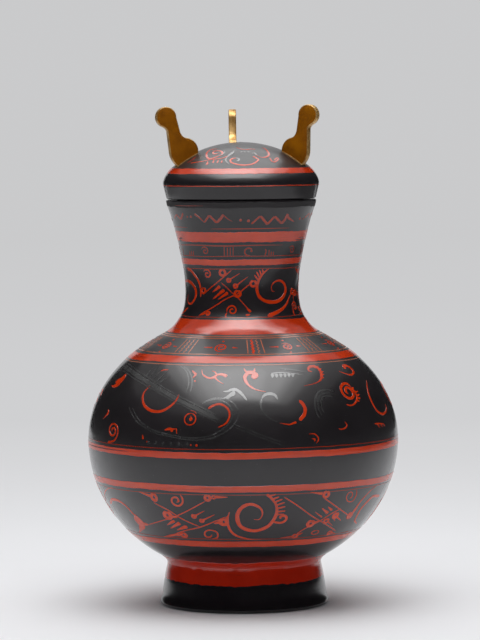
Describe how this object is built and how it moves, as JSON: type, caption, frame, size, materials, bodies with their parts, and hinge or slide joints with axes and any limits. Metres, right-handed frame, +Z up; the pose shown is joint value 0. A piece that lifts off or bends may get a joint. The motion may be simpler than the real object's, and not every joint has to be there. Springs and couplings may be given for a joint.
{
  "type": "lidded lacquer jar",
  "caption": "Round-bellied wooden lacquer jar on a flared foot, with a waisted neck and a domed plug lid that lifts off by upright S-shaped knobs.",
  "frame": {"origin": "centre of the foot's resting plane, on the jar's axis", "axes": "+Z up along the jar's axis, -Y towards the painted front that the picture shows, +X to its right"},
  "size_m": [0.2, 0.2, 0.3214],
  "materials": {
    "black_lacquer": "satin black lacquer over turned wood, rubbed to a soft gloss",
    "vermilion_lacquer": "vermilion lacquer, hand brushed, slightly raised",
    "grey_lacquer": "dark grey lacquer line work, slightly raised",
    "gilt_lacquer": "gold lacquer over a sawn board, brushed"
  },
  "bodies": {
    "jar": {"foot_ring": "black_lacquer", "lower_belly": "black_lacquer", "upper_belly": "black_lacquer", "neck": "black_lacquer"},
    "lid": {"lid_shell": "black_lacquer", "lid_plug_ring": "black_lacquer", "knob_left": "gilt_lacquer", "knob_right": "gilt_lacquer", "knob_back": "gilt_lacquer"}
  },
  "joints": [
    {"name": "lid_lift", "type": "slide", "parent": "jar", "child": "lid", "axis": [0, 0, 1], "range_m": [0, 0.1]}
  ]
}
